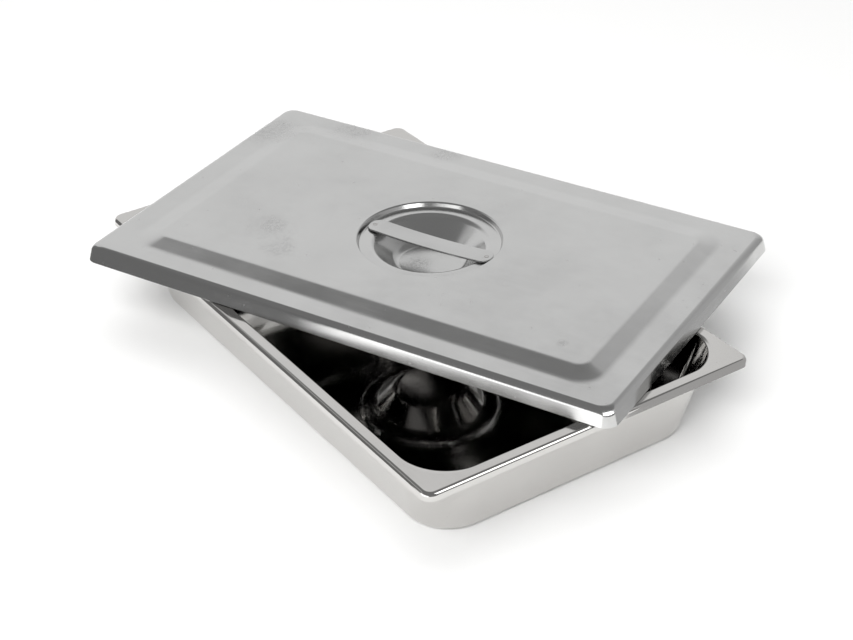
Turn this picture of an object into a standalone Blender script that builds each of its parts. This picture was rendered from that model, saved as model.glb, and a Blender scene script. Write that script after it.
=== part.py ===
"""A covered instrument tray: a drawn steel pan, and a loose cover with a strap handle across its recess.

The origin is the middle of the pan's underside, +X runs along the pan's long side and +Z is up. The
cover stands askew on the pan's rim, the way it is put down while the pan is in use. All sizes are in
metres.
"""

import math

import bmesh
import bpy
from mathutils import Vector

COLLECTION = "instrument_tray"
SHEET = 0.0007  # thickness of the sheet that the pan and the cover are pressed from
GAP = 0.0003  # clearance between pieces that touch
CORNER_STEPS = 12  # facets round a plan corner; a full circle has four times as many
STRAP_STEPS = 8  # short lengths in each half of the strap's sides
END_STEPS = 16  # facets round the two corners of each of the strap's ends
ARC_STEP = math.radians(20)  # largest turn between two facets of a rounded bend

PAN_LENGTH = 0.3062
PAN_WIDTH = 0.1924
PAN_HEIGHT = 0.045
PAN_CORNER = 0.0055  # plan radius of the rim's outer corners
RIM_ROUND = 0.0020  # bend from the flat rim into its turned-down edge
RIM_DEPTH = 0.0042  # height of the turned-down edge, bend included
RIM_WIDTH = 0.0072  # from the rim's outer edge to the opening
OPENING_CORNER = 0.026
OPENING_ROUND = 0.0012  # bend from the flat rim into the wall
WALL_LEAN = 0.0098  # how far the wall leans in between the opening and the floor
FLOOR_ROUND = 0.0045  # bend from the wall into the floor
FLOOR_CORNER = 0.0215  # plan radius where the wall meets the floor

COVER_LENGTH = 0.3092  # at the skirt's open edge
COVER_WIDTH = 0.1952
COVER_CORNER = 0.0074
SKIRT_FLARE = 0.0024  # how far the skirt opens out on each side towards its edge
SKIRT_HEIGHT = 0.0085
COVER_ROUND = 0.0042  # bend from the skirt into the cover's flat margin
TOE = (0.1363, 0.0810, 0.014)  # half length, half width and corner radius of the raised panel's foot
TOE_ROUND = 0.020
LIP = (0.1260, 0.0695, 0.006)  # the same of the raised panel's flat top
LIP_ROUND = 0.012
PANEL_RISE = 0.0018

RECESS_SHIFT = (0.0014, -0.0007)  # the recess and the strap are this far from the cover's middle
RECESS_BORDER = 0.0030  # the panel is flat for at least this far round the recess
RECESS_RADIUS = 0.0388  # round recess for the fingers, in the raised panel
RECESS_ROUND = 0.0010
LEDGE_RADIUS = 0.0378  # outer edge of the ledge that the handle rests on
LEDGE_DEPTH = 0.0030
LEDGE_ROUND = 0.0008
DISH_MOUTH_RADIUS = 0.0304
DISH_MOUTH_ROUND = 0.0050
DISH_FLOOR_RADIUS = 0.0190
DISH_FLOOR_ROUND = 0.0065
DISH_DEPTH = 0.0150

STRAP_LENGTH = 0.0744
STRAP_WIDTH = 0.0124
STRAP_THICKNESS = 0.0010
STRAP_CORNER = 0.0050  # radius of its corners
STRAP_SAG = 0.0009  # how far the strap bows down towards the dish at its middle
WELD_INSET = 0.0031  # from the strap's tip to the middle of its spot weld
WELD_RADIUS = 0.0014
WELD_DIMPLE = 0.00015  # how far a spot weld's face lies below the strap's

COVER_PLACE = Vector((-0.0190, 0.0240, PAN_HEIGHT + GAP))
COVER_TURN = math.radians(25)  # the cover's turn from square with the pan
STRAP_BASE = SKIRT_HEIGHT + PANEL_RISE - LEDGE_DEPTH + GAP  # underside of the strap above the skirt's edge


def clear_scene():
    for old in list(bpy.data.objects):
        bpy.data.objects.remove(old, do_unlink=True)


def steel(name, colour, roughness):
    """A stainless steel finish."""
    material = bpy.data.materials.new(name)
    material.use_nodes = True
    shader = material.node_tree.nodes["Principled BSDF"]
    shader.inputs["Base Color"].default_value = (*colour, 1)
    shader.inputs["Roughness"].default_value = roughness
    shader.inputs["Metallic"].default_value = 1
    return material


def add_object(name, data, collection, material=None, parent=None):
    created = bpy.data.objects.new(name, data)
    collection.objects.link(created)
    created.parent = parent
    if material:
        data.materials.append(material)
    return created


def level(half_length, half_width, corner, height):
    """One level of a pressing: a rounded rectangle, or a circle if all three sizes are its radius."""
    return Vector((half_length, half_width, corner, height))


def inset_level(length, width, inset, corner, height):
    return level(length / 2 - inset, width / 2 - inset, corner, height)


def round_level(radius, height):
    return level(radius, radius, radius, height)


def bend(before, corner, after, radius):
    """The levels of an arc of this radius, in place of a sharp corner between three levels."""
    back, ahead = before - corner, after - corner
    back_run, ahead_run = math.hypot(back[0], back[3]), math.hypot(ahead[0], ahead[3])
    cosine = (back[0] * ahead[0] + back[3] * ahead[3]) / (back_run * ahead_run)
    half_angle = math.acos(cosine) / 2
    reach = radius / math.tan(half_angle)
    start, end = corner + back * (reach / back_run), corner + ahead * (reach / ahead_run)
    steps = max(2, math.ceil((math.pi - 2 * half_angle) / ARC_STEP))
    levels = []
    for step in range(steps + 1):
        t = step / steps
        weights = (1 - t) ** 2, 2 * t * (1 - t) * math.sin(half_angle), t * t
        point = start * weights[0] + corner * weights[1] + end * weights[2]
        levels.append(point / sum(weights))
    return levels


def rounded(profile):
    """The levels of a profile of (level, bend radius) pairs, from its open edge to its middle."""
    levels = [profile[0][0]]
    for before, this, after in zip(profile, profile[1:], profile[2:]):
        levels += bend(before[0], this[0], after[0], this[1]) if this[1] else [this[0]]
    return levels + [profile[-1][0]]


def outline(at):
    """The points round a level, anticlockwise seen from above; the round levels belong to the recess."""
    half_length, half_width, corner, height = at
    shift_x, shift_y = RECESS_SHIFT if corner == half_length else (0, 0)
    points = []
    for quarter, (side_x, side_y) in enumerate(((1, 1), (-1, 1), (-1, -1), (1, -1))):
        centre_x = side_x * (half_length - corner) + shift_x
        centre_y = side_y * (half_width - corner) + shift_y
        for step in range(CORNER_STEPS + 1):
            angle = (quarter + step / CORNER_STEPS) * math.pi / 2
            x, y = centre_x + corner * math.cos(angle), centre_y + corner * math.sin(angle)
            points.append((x, y, height))
    return points


def pressing(name, levels, collection, material, parent=None):
    """A sheet pressing: one skin through all its levels, thickened on its underside."""
    shape = bmesh.new()
    rings = [[shape.verts.new(point) for point in outline(at)] for at in levels]
    for outer, inner in zip(rings, rings[1:]):
        for i in range(len(outer)):
            shape.faces.new((outer[i - 1], outer[i], inner[i], inner[i - 1]))
    shape.faces.new(rings[-1])
    bmesh.ops.remove_doubles(shape, verts=shape.verts, dist=1e-6)
    mesh = bpy.data.meshes.new(name)
    shape.to_mesh(mesh)
    shape.free()
    mesh.shade_smooth()
    mesh.set_sharp_from_angle(angle=math.radians(30))
    created = add_object(name, mesh, collection, material, parent)
    thickness = created.modifiers.new("sheet", "SOLIDIFY")
    thickness.thickness = SHEET
    thickness.offset = -1
    thickness.use_even_offset = True
    return created


def pan_levels():
    def at(inset, corner, height):
        return inset_level(PAN_LENGTH, PAN_WIDTH, inset, corner, height)

    return rounded(
        [
            (at(0, PAN_CORNER, PAN_HEIGHT - RIM_DEPTH), 0),
            (at(0, PAN_CORNER, PAN_HEIGHT), RIM_ROUND),
            (at(RIM_WIDTH, OPENING_CORNER, PAN_HEIGHT), OPENING_ROUND),
            (at(RIM_WIDTH + WALL_LEAN, FLOOR_CORNER, SHEET), FLOOR_ROUND),
            (at(PAN_WIDTH / 3, FLOOR_CORNER, SHEET), 0),
        ]
    )


def cover_levels():
    top = SKIRT_HEIGHT + PANEL_RISE
    ledge = top - LEDGE_DEPTH

    def skirt(inset, height):
        return inset_level(COVER_LENGTH, COVER_WIDTH, inset, COVER_CORNER - inset, height)

    return rounded(
        [
            (skirt(0, 0), 0),
            (skirt(SKIRT_FLARE, SKIRT_HEIGHT), COVER_ROUND),
            (level(*TOE, SKIRT_HEIGHT), TOE_ROUND),
            (level(*LIP, top), LIP_ROUND),
            (round_level(RECESS_RADIUS + RECESS_BORDER, top), 0),
            (round_level(RECESS_RADIUS, top), RECESS_ROUND),
            (round_level(LEDGE_RADIUS, ledge), LEDGE_ROUND),
            (round_level(DISH_MOUTH_RADIUS, ledge), DISH_MOUTH_ROUND),
            (round_level(DISH_FLOOR_RADIUS, top - DISH_DEPTH), DISH_FLOOR_ROUND),
            (round_level(DISH_FLOOR_RADIUS / 2, top - DISH_DEPTH), 0),
        ]
    )


def add_loop(curve, points):
    """A closed polygon in a flat curve."""
    loop = curve.splines.new("POLY")
    loop.points.add(len(points) - 1)
    for target, (x, y) in zip(loop.points, points):
        target.co = (x, y, 0, 1)
    loop.use_cyclic_u = True


def arc_points(centre, radius, start, turn, steps):
    """Points on an arc, both ends included."""
    angles = [start + turn * step / steps for step in range(steps + 1)]
    return [(centre[0] + radius * math.cos(a), centre[1] + radius * math.sin(a)) for a in angles]


def strap_outline():
    """Points round the strap: round corners, and straight sides in short lengths, so that it can bow."""
    half_width = STRAP_WIDTH / 2
    end_x, end_y = STRAP_LENGTH / 2 - STRAP_CORNER, half_width - STRAP_CORNER
    side = [end_x * (step / STRAP_STEPS - 1) for step in range(1, 2 * STRAP_STEPS)]
    corners = [
        arc_points((x, y), STRAP_CORNER, quarter * math.pi / 2, math.pi / 2, END_STEPS // 2)
        for quarter, (x, y) in enumerate(((end_x, end_y), (-end_x, end_y), (-end_x, -end_y), (end_x, -end_y)))
    ]
    near = [(x, -half_width) for x in side]
    far = [(-x, half_width) for x in side]
    return corners[0] + far + corners[1] + corners[2] + near + corners[3]


def weld_x():
    """How far each spot weld is from the middle of the strap."""
    return STRAP_LENGTH / 2 - WELD_INSET


def make_strap(collection, material, cover):
    """The strap handle: a bar with round ends that bows down a little, with a hole for each spot weld."""
    curve = bpy.data.curves.new("strap_outline", "CURVE")
    curve.dimensions = "2D"
    curve.fill_mode = "BOTH"
    curve.extrude = STRAP_THICKNESS / 2
    add_loop(curve, strap_outline())
    for side in (-1, 1):
        add_loop(curve, arc_points((side * weld_x(), 0), WELD_RADIUS + GAP, 0, math.tau, 24)[:-1])
    flat = add_object("strap_outline", curve, collection)
    bpy.context.view_layer.update()
    evaluated = flat.evaluated_get(bpy.context.evaluated_depsgraph_get())
    mesh = bpy.data.meshes.new_from_object(evaluated)
    bpy.data.objects.remove(flat, do_unlink=True)

    shape = bmesh.new()
    shape.from_mesh(mesh)
    bmesh.ops.remove_doubles(shape, verts=shape.verts, dist=1e-6)
    for vertex in shape.verts:
        share = min(1, abs(vertex.co.x) / DISH_MOUTH_RADIUS)
        vertex.co.z -= STRAP_SAG * (1 - share**2)
    shape.to_mesh(mesh)
    shape.free()
    mesh.name = "strap_handle"
    mesh.shade_smooth()
    mesh.set_sharp_from_angle(angle=math.radians(30))
    strap = add_object("strap_handle", mesh, collection, material, cover)
    strap.location = (*RECESS_SHIFT, STRAP_BASE + STRAP_THICKNESS / 2)
    return strap


def make_weld(name, side, collection, material, cover):
    """One spot weld, which shows as a small sunk disc near the strap's tip."""
    height = STRAP_THICKNESS - WELD_DIMPLE
    shape = bmesh.new()
    bmesh.ops.create_cone(
        shape, cap_ends=True, segments=24, radius1=WELD_RADIUS, radius2=WELD_RADIUS, depth=height
    )
    mesh = bpy.data.meshes.new(name)
    shape.to_mesh(mesh)
    shape.free()
    mesh.shade_smooth()
    mesh.set_sharp_from_angle(angle=math.radians(30))
    weld = add_object(name, mesh, collection, material, cover)
    weld.location = (RECESS_SHIFT[0] + side * weld_x(), RECESS_SHIFT[1], STRAP_BASE + height / 2)
    return weld


def build():
    clear_scene()
    parts = bpy.data.collections.new(COLLECTION)
    bpy.context.scene.collection.children.link(parts)

    pan_steel = steel("tray_pan_steel", (0.60, 0.60, 0.60), 0.24)
    cover_steel = steel("lid_cover_steel", (0.62, 0.62, 0.61), 0.30)
    strap_steel = steel("strap_handle_steel", (0.64, 0.64, 0.63), 0.26)
    weld_steel = steel("spot_weld_steel", (0.50, 0.48, 0.46), 0.40)

    pressing("tray_pan", pan_levels(), parts, pan_steel)

    lift_axis = add_object("cover_lift_axis", None, parts)
    lift_axis.location = COVER_PLACE
    lift_axis.rotation_euler.z = COVER_TURN
    pressing("lid_cover", cover_levels(), parts, cover_steel, lift_axis)
    make_strap(parts, strap_steel, lift_axis)
    make_weld("spot_weld_left", -1, parts, weld_steel, lift_axis)
    make_weld("spot_weld_right", 1, parts, weld_steel, lift_axis)


build()
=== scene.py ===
"""The looks of the covered instrument tray: pressings, the strap handle, its welds, steel and a studio.

The camera looks down at the near corner of the pan. All sizes are in metres, in the frame of the CAD model:
+X runs along the pan's long side, +Z is up, and the pan stands on z = 0.
"""

import math

import bmesh
import bpy
from mathutils import Matrix, Vector


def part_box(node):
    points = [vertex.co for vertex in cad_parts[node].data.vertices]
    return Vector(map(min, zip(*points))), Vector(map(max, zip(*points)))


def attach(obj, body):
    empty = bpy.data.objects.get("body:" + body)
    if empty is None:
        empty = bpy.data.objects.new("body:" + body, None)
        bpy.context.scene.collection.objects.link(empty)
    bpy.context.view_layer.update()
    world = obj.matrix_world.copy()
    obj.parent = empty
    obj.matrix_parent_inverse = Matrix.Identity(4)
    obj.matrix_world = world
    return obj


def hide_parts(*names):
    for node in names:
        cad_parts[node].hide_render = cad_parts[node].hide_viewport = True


# The photograph's viewpoint: a long lens that looks down at the near corner.
CAMERA_PLACE = (0.68102, -0.46031, 0.54867)
CAMERA_HEADING = math.radians(-55.40)  # from +Y towards +X
CAMERA_TILT = math.radians(32.67)  # downwards
CAMERA_ROLL = math.radians(-0.20)
CAMERA_LENS = 78.29  # millimetres, on a sensor 36 mm wide
CAMERA_SENSOR = 36
CAMERA_CLIP = (0.05, 60)

# Mesh density: every ring has the same number of points, so that the skins are made of quads.
CORNER_STEPS = 16  # facets round a plan corner
SIDE_STEPS = 40  # lengths along a straight side
QUARTER_STEPS = CORNER_STEPS + SIDE_STEPS
RING_POINTS = 4 * QUARTER_STEPS
ARC_STEP = math.radians(7)  # largest turn between two facets of a bend
SPREAD_STEPS = 8  # rings across the flat between the raised panel's lip and the recess

STRAP_EDGE_STEPS = 5  # facets round the strap's eased edges
WELD_STEPS = 32  # facets round a weld

SHEET = 0.0007  # thickness of the pressed sheet
EDGE_BEVEL = 0.00015  # the sheet's cut edge has its corners broken
SHARP_EDGE = math.radians(50)  # only the cut edge turns by more than this

# The pan, from its outer edge to its floor; its outer size comes from the frame.
PAN_CORNER = 0.0055
RIM_ROUND = 0.0020
RIM_BEND = 1.2 * RIM_ROUND  # the rim keeps its outer outline as far in as this
RIM_DEPTH = 0.0042
RIM_WIDTH = 0.0072
OPENING_CORNER = 0.026
OPENING_ROUND = 0.0012
WALL_LEAN = 0.0098
FLOOR_ROUND = 0.0045
FLOOR_CORNER = 0.0215

# The cover, from its skirt to the middle of its recess; its outer size and its turn come from the frame.
COVER_CORNER = 0.0074
SKIRT_FLARE = 0.0024
SKIRT_HEIGHT = 0.0085
PANEL_RISE = 0.0018
COVER_ROUND = 0.0042
TOE = (0.1363, 0.0810, 0.014)  # half length, half width and corner radius of the raised panel's foot
TOE_ROUND = 0.020
LIP = (0.1260, 0.0695, 0.006)  # the same of the raised panel's flat top
LIP_ROUND = 0.012
LIP_BORDER = 0.004  # the flat top keeps its neighbour's outline for this far at both of its edges
RECESS_DRAW_RADIUS = 0.046  # inside this the flat top is drawn down a little towards the recess
RECESS_DRAW = 0.00016
RECESS_DRAW_ROUND = 0.15
RECESS_SHIFT = (0.0014, -0.0007)  # the recess and the strap are this far from the cover's middle
RECESS_RADIUS = 0.0388
RECESS_ROUND = 0.0010
LEDGE_RADIUS = 0.0378
LEDGE_DEPTH = 0.0030
LEDGE_ROUND = 0.0008
DISH_MOUTH_RADIUS = 0.0304
DISH_MOUTH_ROUND = 0.0050
DISH_FLOOR_RADIUS = 0.0190
DISH_FLOOR_ROUND = 0.0065
DISH_DEPTH = 0.0150

# The strap handle and its spot welds.
STRAP_LENGTH = 0.0744
STRAP_WIDTH = 0.0124
STRAP_CORNER = 0.0050
STRAP_SAG = 0.0009
STRAP_EDGE = 0.00035  # radius of the strap's eased edges
WELD_RADIUS = 0.0014
WELD_RIDGE = 0.00005  # height of the ring that the welding tip pushes up
WELD_DEPTH = -4 * WELD_RIDGE  # the weld's hidden point, below the strap's face
WELD_CRATER = (  # share of the radius, and height in ridges
    (0, -0.6),
    (0.35, -0.55),
    (0.55, 0.1),
    (0.70, 1.0),
    (0.85, 0.6),
    (1.0, -1.2),
)

# The steel's patterns, as noise scales; the stretched ones run along the rolling direction.
GRAIN_SCALE = 1800
ROLLING_SCALE = (30, 1400, 30)
HAZE_SCALE = 22
PATCH_SCALE = 60
RIPPLE_SCALE = 16
SPOT_SCALE = 420
SCRATCH_SCALE = (2600, 70, 70)
SKIN_RIDGE_SCALE = (900, 500, 900)  # the ridges of a fingerprint
WANDER_SCALE = 90  # the uneven outline of a mark
ROLLING_DEPTH = 0.000004
GRAIN_DEPTH = 0.000006
SCRATCH_DEPTH = -0.000002

# Darker, rougher marks on the cover, most of them where hands have touched it: the middle and the radius of
# each mark.
COVER_MARKS = (
    ((-0.078, -0.034, 0.010), 0.014),
    ((-0.062, -0.050, 0.010), 0.012),
    # a darker, rougher patch on the dish floor
    ((-0.003, -0.004, -0.005), 0.009),
    ((-0.142, 0.062, 0.008), 0.022),
    ((-0.100, 0.088, 0.008), 0.016),
    ((-0.040, 0.090, 0.008), 0.014),
    ((0.108, -0.057, 0.009), 0.004),
)

POLISHED_SHARE = 0.5  # how much of its roughness the steel keeps where pan and cover face each other
POLISHED_BELOW = 0.0446  # the pan is polished up to just under its rim
POLISHED_FADE = 0.0006
ANY_HEIGHT = 1.0

# The studio: brightness of its walls by azimuth (from +Y towards +X) and of its ceiling by elevation.
WALLS = (
    (-180, 0.22),
    (-152, 0.22),
    (-138, 0.62),
    (-118, 0.84),
    (-44, 0.86),
    (-33, 0.70),
    (-10, 0.50),
    (25, 0.36),
    (60, 0.24),
    (180, 0.22),
)
WALL_TOP = (37.5, 43.5)  # elevations between which the walls fade into the ceiling
CEILING = ((43, 0.23), (58, 0.21), (90, 0.23))
FLOOR_HALF_SIZE = 4
FLOOR_COLOUR = (0.88, 0.88, 0.875)

# Lights that only brighten the floor: azimuth, elevation, distance, size and power.
LIGHTS = {
    "overhead": (-60, 77, 2.3, (2.3, 2.3), 28),
    "front_fill": (140, 42, 2.3, (1.8, 1.2), 54),
}

# Cards that only the steel mirrors: start, end, bottom, top and brightness.
CARDS = {
    "black_flag": ((-0.26, -0.13), (0.0, -0.26), 0, 0.21, 0.19),
    "front_card": ((0.01, -0.28), (0.30, -0.26), 0, 0.12, 2.0),
    "left_card": ((-0.39, -0.40), (-0.34, -0.43), 0.05, 0.15, 1.6),
    "rim_card": ((0.20, -0.06), (0.20, 0.06), 0.075, 0.17, 3.5),
    "right_flag": ((0.190, 0.050), (0.105, 0.260), 0, 0.12, 0.50),
}


# ---------------------------------------------------------------------------------------------- camera


def add_camera():
    camera_data = bpy.data.cameras.new("studio_camera")
    camera_data.lens = CAMERA_LENS
    camera_data.sensor_width = CAMERA_SENSOR
    camera_data.clip_start, camera_data.clip_end = CAMERA_CLIP
    camera = bpy.data.objects.new("studio_camera", camera_data)
    bpy.context.scene.collection.objects.link(camera)
    level_share = math.cos(CAMERA_TILT)
    forward = Vector(
        (
            math.sin(CAMERA_HEADING) * level_share,
            math.cos(CAMERA_HEADING) * level_share,
            -math.sin(CAMERA_TILT),
        )
    )
    facing = forward.to_track_quat("-Z", "Y").to_matrix().to_4x4()
    roll = Matrix.Rotation(CAMERA_ROLL, 4, "Z")
    camera.matrix_world = Matrix.Translation(CAMERA_PLACE) @ facing @ roll
    bpy.context.scene.camera = camera


# ---------------------------------------------------------------------------------------------- pressings


def level(half_length, half_width, corner, height):
    """One level of a pressing: a rounded rectangle, or a circle if all three sizes are its radius."""
    return Vector((half_length, half_width, corner, height))


def inset_level(length, width, inset, corner, height):
    return level(length / 2 - inset, width / 2 - inset, corner, height)


def round_level(radius, height):
    return level(radius, radius, radius, height)


def bend(before, corner, after, radius):
    """The levels of an arc of this radius, in place of a sharp corner between three levels."""
    back, ahead = before - corner, after - corner
    back_run, ahead_run = math.hypot(back[0], back[3]), math.hypot(ahead[0], ahead[3])
    cosine = (back[0] * ahead[0] + back[3] * ahead[3]) / (back_run * ahead_run)
    half_angle = math.acos(cosine) / 2
    reach = radius / math.tan(half_angle)
    start, end = corner + back * (reach / back_run), corner + ahead * (reach / ahead_run)
    steps = max(2, math.ceil((math.pi - 2 * half_angle) / ARC_STEP))
    levels = []
    for step in range(steps + 1):
        t = step / steps
        weights = (1 - t) ** 2, 2 * t * (1 - t) * math.sin(half_angle), t * t
        point = start * weights[0] + corner * weights[1] + end * weights[2]
        levels.append(point / sum(weights))
    return levels


def rounded(profile):
    """The levels of a profile of (level, bend radius) pairs, from its open edge to its middle."""
    levels = [profile[0][0]]
    for before, this, after in zip(profile, profile[1:], profile[2:]):
        levels += bend(before[0], this[0], after[0], this[1]) if this[1] else [this[0]]
    return levels + [profile[-1][0]]


def is_round(at):
    return abs(at[0] - at[2]) < 1e-9 and abs(at[1] - at[2]) < 1e-9


def ring(at):
    """The points of a level, anticlockwise: the same number on a circle as on a rounded rectangle."""
    half_length, half_width, corner, height = at
    if is_round(at):
        step = math.tau / RING_POINTS
        middle = Vector((*RECESS_SHIFT, height))
        angles = [math.pi / 4 + (i - CORNER_STEPS / 2) * step for i in range(RING_POINTS)]
        return [middle + corner * Vector((math.cos(a), math.sin(a), 0)) for a in angles]
    centres = [
        Vector((side_x * (half_length - corner), side_y * (half_width - corner), height))
        for side_x, side_y in ((1, 1), (-1, 1), (-1, -1), (1, -1))
    ]
    points = []
    for quarter in range(4):
        angles = [(quarter + step / CORNER_STEPS) * math.pi / 2 for step in range(CORNER_STEPS + 1)]
        arc = [centres[quarter] + corner * Vector((math.cos(a), math.sin(a), 0)) for a in angles]
        turned = (quarter + 1) * math.pi / 2
        side_end = centres[(quarter + 1) % 4] + corner * Vector((math.cos(turned), math.sin(turned), 0))
        side = [arc[-1].lerp(side_end, step / SIDE_STEPS) for step in range(1, SIDE_STEPS)]
        points += arc + side
    return points


def skin_rings(levels):
    """The rings of a profile; a flat between a rectangle and a circle gets rings that pass between them."""
    rings = [ring(levels[0])]
    for before, after in zip(levels, levels[1:]):
        target = ring(after)
        if is_round(after) and not is_round(before):
            for step in range(1, SPREAD_STEPS):
                share = step / SPREAD_STEPS
                rings.append([a.lerp(b, share) for a, b in zip(ring(before), target)])
        rings.append(target)
    return rings


def cap(shape, loop):
    """Fills a closed loop of RING_POINTS vertices with a grid of quads (a Coons patch)."""
    first = CORNER_STEPS // 2
    turned = loop[first:] + loop[:first]
    n = QUARTER_STEPS
    bottom = turned[0 : n + 1]
    right = turned[n : 2 * n + 1]
    top = list(reversed(turned[2 * n : 3 * n + 1]))
    left = list(reversed(turned[3 * n :] + [turned[0]]))
    corners = bottom[0].co, bottom[n].co, top[0].co, top[n].co
    grid = [[None] * (n + 1) for _ in range(n + 1)]
    for i in range(n + 1):
        grid[0][i] = bottom[i]
        grid[n][i] = top[i]
        grid[i][0] = left[i]
        grid[i][n] = right[i]
    for row in range(1, n):
        v = row / n
        for column in range(1, n):
            u = column / n
            across = bottom[column].co * (1 - v) + top[column].co * v
            along = left[row].co * (1 - u) + right[row].co * u
            plain = (corners[0] * (1 - u) + corners[1] * u) * (1 - v)
            plain += (corners[2] * (1 - u) + corners[3] * u) * v
            grid[row][column] = shape.verts.new(across + along - plain)
    for row in range(n):
        for column in range(n):
            shape.faces.new(
                (grid[row][column], grid[row][column + 1], grid[row + 1][column + 1], grid[row + 1][column])
            )


def loft(rings, cap_start=False):
    """A bmesh skin through the rings, capped at its last ring."""
    shape = bmesh.new()
    loops = [[shape.verts.new(point) for point in points] for points in rings]
    for outer, inner in zip(loops, loops[1:]):
        for i in range(RING_POINTS):
            shape.faces.new((outer[i - 1], outer[i], inner[i], inner[i - 1]))
    cap(shape, loops[-1])
    if cap_start:
        cap(shape, list(reversed(loops[0])))
    bmesh.ops.recalc_face_normals(shape, faces=shape.faces)
    return shape


def add_piece(name, shape, material):
    mesh = bpy.data.meshes.new(name)
    shape.to_mesh(mesh)
    shape.free()
    mesh.shade_smooth()
    mesh.materials.append(material)
    piece = bpy.data.objects.new(name, mesh)
    bpy.context.scene.collection.objects.link(piece)
    return piece


def place_piece(piece, place):
    """Moves the piece's points to their place; "own_place" keeps where they are on the piece itself."""
    mesh = piece.data
    own = mesh.attributes.new("own_place", "FLOAT_VECTOR", "POINT")
    for vertex, value in zip(mesh.vertices, own.data):
        value.vector = vertex.co
    mesh.transform(place)


def face_weighted(piece):
    """Normals weighted by face area, so that flats stay flat up to the bends beside them."""
    normals = piece.modifiers.new("flats", "WEIGHTED_NORMAL")
    normals.mode = "FACE_AREA"
    normals.keep_sharp = True


def add_pressing(name, levels, material):
    """A sheet pressing: one skin through all its levels, thickened on its underside."""
    shape = loft(skin_rings(levels))
    piece = add_piece(name, shape, material)
    upward = piece.data.polygons[-1].normal.z > 0
    if not upward:
        piece.data.flip_normals()
    sheet = piece.modifiers.new("sheet", "SOLIDIFY")
    sheet.thickness = SHEET
    sheet.offset = -1
    sheet.use_even_offset = True
    edge = piece.modifiers.new("cut_edge", "BEVEL")
    edge.width = EDGE_BEVEL
    edge.segments = 2
    edge.limit_method = "ANGLE"
    edge.angle_limit = SHARP_EDGE
    face_weighted(piece)
    return piece


def pan_levels(low, high):
    length, width, height = high - low

    def at(inset, corner, z):
        return inset_level(length, width, inset, corner, z)

    return rounded(
        [
            (at(0, PAN_CORNER, height - RIM_DEPTH), 0),
            (at(0, PAN_CORNER, height), RIM_ROUND),
            (at(RIM_BEND, PAN_CORNER - RIM_BEND, height), 0),
            (at(RIM_WIDTH, OPENING_CORNER, height), OPENING_ROUND),
            (at(RIM_WIDTH + WALL_LEAN, FLOOR_CORNER, SHEET), FLOOR_ROUND),
            (at(RIM_WIDTH + WALL_LEAN + 4 * FLOOR_ROUND, FLOOR_CORNER, SHEET), 0),
        ]
    )


def cover_levels(length, width):
    height = SKIRT_HEIGHT + PANEL_RISE
    ledge = height - LEDGE_DEPTH

    def skirt(inset, z):
        return inset_level(length, width, inset, COVER_CORNER - inset, z)

    return rounded(
        [
            (skirt(0, 0), 0),
            (skirt(SKIRT_FLARE, SKIRT_HEIGHT), COVER_ROUND),
            (level(*TOE, SKIRT_HEIGHT), TOE_ROUND),
            (level(*LIP, height), LIP_ROUND),
            (level(LIP[0] - LIP_BORDER, LIP[1] - LIP_BORDER, LIP[2], height), 0),
            (round_level(RECESS_DRAW_RADIUS + LIP_BORDER, height), 0),
            (round_level(RECESS_DRAW_RADIUS, height), RECESS_DRAW_ROUND),
            (round_level(RECESS_RADIUS, height - RECESS_DRAW), RECESS_ROUND),
            (round_level(LEDGE_RADIUS, ledge), LEDGE_ROUND),
            (round_level(DISH_MOUTH_RADIUS, ledge), DISH_MOUTH_ROUND),
            (round_level(DISH_FLOOR_RADIUS, height - DISH_DEPTH), DISH_FLOOR_ROUND),
            (round_level(DISH_FLOOR_RADIUS / 2, height - DISH_DEPTH), 0),
        ]
    )


# ---------------------------------------------------------------------------------------------- pieces


def box_middle(node):
    low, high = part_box(node)
    return (low + high) / 2


def cover_turn():
    """The cover's turn from square with the pan: the direction from one spot weld to the other."""
    along = box_middle("spot_weld_right") - box_middle("spot_weld_left")
    return math.atan2(along.y, along.x)


def cover_plan_size(turn):
    """The cover's length and width, worked back from the box of the turned cover."""
    low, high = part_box("lid_cover")
    c, s = math.cos(turn), math.sin(turn)
    x, y = high.x - low.x - 2 * COVER_CORNER, high.y - low.y - 2 * COVER_CORNER
    spread = c * c - s * s
    length, width = (x * c - y * s) / spread, (y * c - x * s) / spread
    return length + 2 * COVER_CORNER, width + 2 * COVER_CORNER


def make_cover(material, turn):
    low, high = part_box("lid_cover")
    length, width = cover_plan_size(turn)
    piece = add_pressing("cover_pressing", cover_levels(length, width), material)
    place = (low + high) / 2
    place.z = high.z - SKIRT_HEIGHT - PANEL_RISE
    place_piece(piece, Matrix.Translation(place) @ Matrix.Rotation(turn, 4, "Z"))
    return piece


def make_pan(material):
    low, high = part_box("tray_pan")
    piece = add_pressing("pan_pressing", pan_levels(low, high), material)
    place_piece(piece, Matrix.Identity(4))
    return piece


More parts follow.
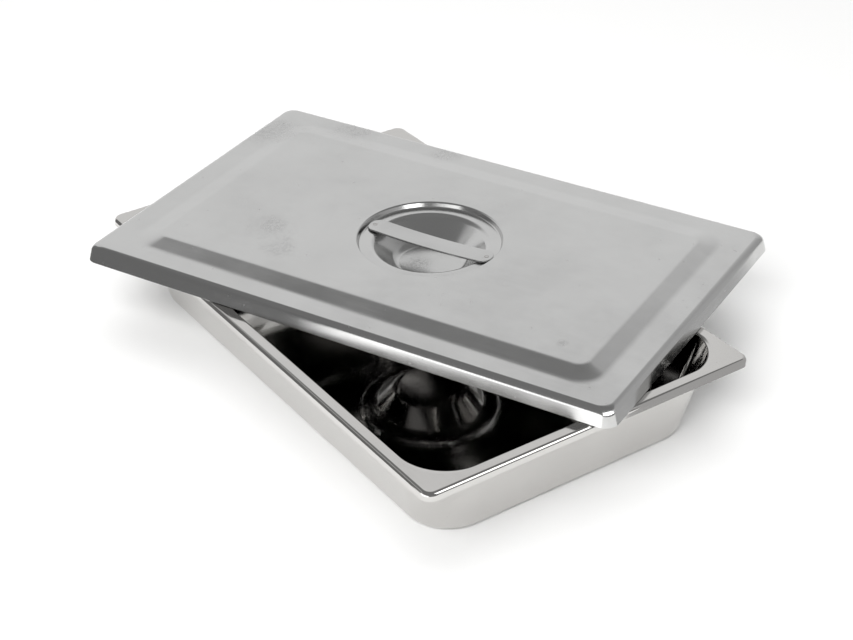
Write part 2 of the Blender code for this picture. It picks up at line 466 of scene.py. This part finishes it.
def make_strap(material, turn):
    """The strap: a flat bar with rounded ends and eased edges, bowed down over the dish."""
    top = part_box("strap_handle")[1].z
    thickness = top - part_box("spot_weld_left")[0].z
    half_length, half_width = STRAP_LENGTH / 2, STRAP_WIDTH / 2

    def at(inset, z):
        return level(half_length - inset, half_width - inset, STRAP_CORNER - inset, z)

    arc = [step / STRAP_EDGE_STEPS * math.pi / 2 for step in range(STRAP_EDGE_STEPS + 1)]
    r = STRAP_EDGE
    lower = [at(r - r * math.sin(a), r - r * math.cos(a)) for a in arc]
    upper = [at(r - r * math.cos(a), thickness - r + r * math.sin(a)) for a in arc]
    inside = [at(2 * r, 0)] + lower + upper + [at(2 * r, thickness)]
    shape = loft([ring(one) for one in inside], cap_start=True)
    for vertex in shape.verts:
        share = min(1, abs(vertex.co.x) / DISH_MOUTH_RADIUS)
        vertex.co.z -= STRAP_SAG * (1 - share**2)
        vertex.co.x *= 1 - vertex.co.y**2 / (2 * half_length**2)
    piece = add_piece("strap_bar", shape, material)
    face_weighted(piece)
    middle = box_middle("strap_handle")
    place_piece(
        piece, Matrix.Translation((middle.x, middle.y, top - thickness)) @ Matrix.Rotation(turn, 4, "Z")
    )
    return piece


def make_weld(node, material):
    """A spot weld: a shallow crater with a low ring round it, on the strap's face."""
    turns = [math.tau * i / WELD_STEPS for i in range(WELD_STEPS)]
    shape = bmesh.new()
    middle = shape.verts.new((0, 0, WELD_CRATER[0][1] * WELD_RIDGE))
    loops = []
    for share, ridges in WELD_CRATER[1:]:
        radius, rise = share * WELD_RADIUS, ridges * WELD_RIDGE
        loops.append([shape.verts.new((radius * math.cos(a), radius * math.sin(a), rise)) for a in turns])
    for i in range(WELD_STEPS):
        shape.faces.new((middle, loops[0][i - 1], loops[0][i]))
    for inner, outer in zip(loops, loops[1:]):
        for i in range(WELD_STEPS):
            shape.faces.new((inner[i - 1], outer[i - 1], outer[i], inner[i]))
    under = shape.verts.new((0, 0, WELD_DEPTH))
    for i in range(WELD_STEPS):
        shape.faces.new((loops[-1][i], loops[-1][i - 1], under))
    bmesh.ops.recalc_face_normals(shape, faces=shape.faces)
    piece = add_piece(node + "_mark", shape, material)
    place = box_middle(node)
    place_piece(piece, Matrix.Translation((place.x, place.y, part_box("strap_handle")[1].z)))
    return piece


# ---------------------------------------------------------------------------------------------- steel


class Nodes:
    """A short way to write a node tree."""

    def __init__(self, tree):
        self.tree = tree

    def add(self, kind, **settings):
        node = self.tree.nodes.new(kind)
        for key, value in settings.items():
            setattr(node, key, value)
        return node

    def link(self, source, target):
        self.tree.links.new(source, target)

    def noise(self, vector, scale, detail=3.0, roughness=0.5):
        node = self.add("ShaderNodeTexNoise")
        self.link(vector, node.inputs["Vector"])
        node.inputs["Scale"].default_value = scale
        node.inputs["Detail"].default_value = detail
        node.inputs["Roughness"].default_value = roughness
        return node.outputs["Fac"]

    def stretched(self, vector, scale):
        node = self.add("ShaderNodeMapping")
        self.link(vector, node.inputs["Vector"])
        node.inputs["Scale"].default_value = scale
        return node.outputs["Vector"]

    def remap(self, value, low, high, to_low, to_high):
        node = self.add("ShaderNodeMapRange")
        self.link(value, node.inputs["Value"])
        node.inputs["From Min"].default_value = low
        node.inputs["From Max"].default_value = high
        node.inputs["To Min"].default_value = to_low
        node.inputs["To Max"].default_value = to_high
        return node.outputs["Result"]

    def math(self, operation, first, second):
        node = self.add("ShaderNodeMath", operation=operation)
        for socket, value in zip(node.inputs, (first, second)):
            if isinstance(value, (int, float)):
                socket.default_value = value
            else:
                self.link(value, socket)
        return node.outputs["Value"]

    def bump(self, height, strength, distance, normal=None):
        node = self.add("ShaderNodeBump")
        self.link(height, node.inputs["Height"])
        node.inputs["Strength"].default_value = strength
        node.inputs["Distance"].default_value = distance
        if normal:
            self.link(normal, node.inputs["Normal"])
        return node.outputs["Normal"]


def handling_marks(nodes, place, marks):
    """Where the steel has been touched: 1 in the middle of each (centre, radius) mark, 0 outside it."""
    total = 0.0
    stretched = nodes.stretched(place, SKIN_RIDGE_SCALE)
    ridges = nodes.remap(nodes.noise(stretched, 1, 2.0), 0.40, 0.60, 0.35, 1.0)
    for centre, radius in marks:
        away = nodes.add("ShaderNodeVectorMath", operation="DISTANCE")
        nodes.link(place, away.inputs[0])
        away.inputs[1].default_value = centre
        wander = nodes.remap(nodes.noise(place, WANDER_SCALE, 3.0), 0.2, 0.8, -0.5 * radius, 0.5 * radius)
        edge = nodes.math("ADD", away.outputs["Value"], wander)
        inside = nodes.remap(edge, 0.35 * radius, radius, 1.0, 0.0)
        total = nodes.math("ADD", total, nodes.math("MULTIPLY", inside, ridges))
    return total


def polished_side(nodes, place, facing, below):
    """1 on the faces that look up (facing 1) or down (facing -1) and lie below a height, 0 elsewhere."""
    axes = nodes.add("ShaderNodeSeparateXYZ")
    nodes.link(nodes.add("ShaderNodeNewGeometry").outputs["True Normal"], axes.inputs["Vector"])
    faces = nodes.remap(axes.outputs["Z"], 0.02 * facing, 0.10 * facing, 0.0, 1.0)
    own = nodes.add("ShaderNodeSeparateXYZ")
    nodes.link(place, own.inputs["Vector"])
    low = nodes.remap(own.outputs["Z"], below - POLISHED_FADE, below, 1.0, 0.0)
    return nodes.math("MULTIPLY", faces, low)


def steel(name, tint, roughness, ripple, smudge, marks=(), polished=None):
    """Mill-finished stainless steel: fine grain, faint rolling lines, hazy patches and a slow ripple.

    It also has small dull spots, a few hair scratches and the handling marks. The polished side, a pair of
    facing and height, keeps only a part of the roughness. The ripple is its depth, and the smudge is how
    much rougher the patches are.
    """
    material = bpy.data.materials.new(name)
    material.use_nodes = True
    nodes = Nodes(material.node_tree)
    shader = material.node_tree.nodes["Principled BSDF"]
    place = nodes.add("ShaderNodeAttribute", attribute_name="own_place").outputs["Vector"]

    grain = nodes.noise(place, GRAIN_SCALE, 2.0)
    rolling = nodes.noise(nodes.stretched(place, ROLLING_SCALE), 1, 3.0)
    haze = nodes.noise(place, HAZE_SCALE, 4.0, 0.6)
    patches = nodes.noise(place, PATCH_SCALE, 3.0, 0.6)
    slow = nodes.noise(place, RIPPLE_SCALE, 1.0)

    rough = nodes.math("ADD", nodes.remap(haze, 0.35, 0.7, -0.03, 0.05), roughness)
    rough = nodes.math("ADD", rough, nodes.remap(patches, 0.45, 0.7, 0.0, smudge))
    rough = nodes.math("ADD", rough, nodes.remap(rolling, 0.3, 0.7, -0.015, 0.015))
    touched = handling_marks(nodes, place, marks)
    spots = nodes.remap(nodes.noise(place, SPOT_SCALE, 1.0), 0.765, 0.80, 0.0, 1.0)
    crossing = nodes.noise(nodes.stretched(place, SCRATCH_SCALE), 1, 1.0)
    scratches = nodes.remap(crossing, 0.74, 0.80, 0.0, 1.0)
    rough = nodes.math("ADD", rough, nodes.math("MULTIPLY", touched, 0.10))
    rough = nodes.math("ADD", rough, nodes.math("MULTIPLY", spots, 0.10))
    if polished:
        share = nodes.remap(polished_side(nodes, place, *polished), 0.0, 1.0, 1.0, POLISHED_SHARE)
        rough = nodes.math("MULTIPLY", rough, share)
    nodes.link(rough, shader.inputs["Roughness"])

    shade = nodes.remap(haze, 0.3, 0.75, 1.01, 0.98)
    shade = nodes.math("MULTIPLY", shade, nodes.remap(grain, 0.3, 0.7, 0.985, 1.015))
    shade = nodes.math("SUBTRACT", shade, nodes.math("MULTIPLY", touched, 0.06))
    shade = nodes.math("SUBTRACT", shade, nodes.math("MULTIPLY", spots, 0.08))
    scale = nodes.add("ShaderNodeVectorMath", operation="SCALE")
    scale.inputs[0].default_value = tint
    nodes.link(shade, scale.inputs["Scale"])
    nodes.link(scale.outputs["Vector"], shader.inputs["Base Color"])

    normal = nodes.bump(slow, 1.0, ripple)
    normal = nodes.bump(rolling, 0.25, ROLLING_DEPTH, normal)
    normal = nodes.bump(grain, 0.30, GRAIN_DEPTH, normal)
    normal = nodes.bump(scratches, 0.10, SCRATCH_DEPTH, normal)
    nodes.link(normal, shader.inputs["Normal"])
    shader.inputs["Metallic"].default_value = 1
    return material


# ---------------------------------------------------------------------------------------------- studio


def direction(azimuth, elevation):
    """A unit vector: azimuth in degrees from +Y towards +X, elevation in degrees above the floor."""
    a, e = math.radians(azimuth), math.radians(elevation)
    return Vector((math.sin(a) * math.cos(e), math.cos(a) * math.cos(e), math.sin(e)))


def add_floor():
    """A plain pale floor, large enough to fill every view."""
    shape = bmesh.new()
    bmesh.ops.create_grid(shape, x_segments=1, y_segments=1, size=FLOOR_HALF_SIZE)
    material = bpy.data.materials.new("studio_floor")
    material.use_nodes = True
    shader = material.node_tree.nodes["Principled BSDF"]
    shader.inputs["Base Color"].default_value = (*FLOOR_COLOUR, 1)
    shader.inputs["Roughness"].default_value = 0.9
    shader.inputs["Specular IOR Level"].default_value = 0.1
    floor = add_piece("studio_floor", shape, material)


def add_light(name, azimuth, elevation, distance, size, power):
    """A soft area light that faces the object and is not mirrored in it."""
    light = bpy.data.lights.new(name, "AREA")
    light.shape = "RECTANGLE"
    light.size, light.size_y = size
    light.energy = power
    lamp = bpy.data.objects.new(name, light)
    bpy.context.scene.collection.objects.link(lamp)
    towards = direction(azimuth, elevation)
    lamp.location = towards * distance
    lamp.rotation_euler = towards.to_track_quat("Z", "Y").to_euler()
    lamp.visible_glossy = False
    lamp.visible_camera = False


def add_card(name, start, end, bottom, top, brightness):
    """An upright studio card between two points of the floor, which shows only in reflections."""
    shape = bmesh.new()
    corners = [(*start, bottom), (*end, bottom), (*end, top), (*start, top)]
    shape.faces.new([shape.verts.new(corner) for corner in corners])
    material = bpy.data.materials.new(name)
    material.use_nodes = True
    shader = material.node_tree.nodes["Principled BSDF"]
    shader.inputs["Base Color"].default_value = (0, 0, 0, 1)
    shader.inputs["Specular IOR Level"].default_value = 0
    shader.inputs["Emission Color"].default_value = (1, 1, 1, 1)
    shader.inputs["Emission Strength"].default_value = brightness
    card = add_piece(name, shape, material)
    card.visible_camera = False
    card.visible_diffuse = False
    card.visible_shadow = False


def ramp(nodes, value, stops):
    """A colour ramp of grey stops."""
    node = nodes.add("ShaderNodeValToRGB")
    nodes.link(value, node.inputs["Fac"])
    elements = node.color_ramp.elements
    while len(elements) < len(stops):
        elements.new(1.0)
    for element, (position, grey) in zip(elements, stops):
        element.position = position
        element.color = (grey, grey, grey, 1)
    return node.outputs["Color"]


def add_world():
    """Studio surroundings: a white wall at the left and behind, darker to the right, and a grey ceiling."""
    world = bpy.data.worlds.new("studio")
    bpy.context.scene.world = world
    world.use_nodes = True
    nodes = Nodes(world.node_tree)
    axes = nodes.add("ShaderNodeSeparateXYZ")
    nodes.link(nodes.add("ShaderNodeTexCoord").outputs["Generated"], axes.inputs["Vector"])
    azimuth = nodes.math("ARCTAN2", axes.outputs["X"], axes.outputs["Y"])
    around = nodes.remap(azimuth, -math.pi, math.pi, 0, 1)
    walls = ramp(nodes, around, [((a + 180) / 360, grey) for a, grey in WALLS])
    ceiling = ramp(nodes, axes.outputs["Z"], [(math.sin(math.radians(e)), grey) for e, grey in CEILING])
    edge = nodes.add("ShaderNodeMapRange", interpolation_type="SMOOTHSTEP")
    nodes.link(axes.outputs["Z"], edge.inputs["Value"])
    edge.inputs["From Min"].default_value = math.sin(math.radians(WALL_TOP[0]))
    edge.inputs["From Max"].default_value = math.sin(math.radians(WALL_TOP[1]))
    mix = nodes.add("ShaderNodeMix", data_type="RGBA")
    nodes.link(edge.outputs["Result"], mix.inputs["Factor"])
    nodes.link(walls, mix.inputs["A"])
    nodes.link(ceiling, mix.inputs["B"])
    nodes.link(mix.outputs["Result"], world.node_tree.nodes["Background"].inputs["Color"])


def add_lights():
    for name, settings in LIGHTS.items():
        add_light(name, *settings)
    for name, settings in CARDS.items():
        add_card(name, *settings)


def build():
    bpy.context.scene.view_settings.view_transform = "Standard"
    add_camera()
    turn = cover_turn()

    inside, underside = (1, POLISHED_BELOW), (-1, ANY_HEIGHT)
    pan_steel = steel("pan_steel", (0.625, 0.615, 0.60), 0.10, 0.00002, 0.02, (), inside)
    cover_steel = steel("cover_steel", (0.62, 0.62, 0.615), 0.18, 0.00003, 0.03, COVER_MARKS, underside)
    strap_steel = steel("strap_steel", (0.60, 0.60, 0.595), 0.20, 0.00001, 0.03)
    weld_steel = steel("weld_steel", (0.50, 0.48, 0.46), 0.36, 0.00001, 0.05)

    pan = make_pan(pan_steel)
    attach(pan, "tray")
    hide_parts("tray_pan")

    cover = make_cover(cover_steel, turn)
    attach(cover, "lid")
    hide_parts("lid_cover")

    strap = make_strap(strap_steel, turn)
    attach(strap, "lid")
    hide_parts("strap_handle")

    for node in ("spot_weld_left", "spot_weld_right"):
        weld = make_weld(node, weld_steel)
        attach(weld, "lid")
        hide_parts(node)

    add_floor()
    add_world()
    add_lights()


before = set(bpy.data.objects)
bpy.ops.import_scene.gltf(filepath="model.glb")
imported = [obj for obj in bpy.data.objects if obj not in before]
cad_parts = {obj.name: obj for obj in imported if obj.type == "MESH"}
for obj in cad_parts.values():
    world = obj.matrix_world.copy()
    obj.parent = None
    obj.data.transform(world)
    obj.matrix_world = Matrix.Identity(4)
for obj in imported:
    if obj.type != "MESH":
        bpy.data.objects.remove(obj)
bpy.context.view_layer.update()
build()
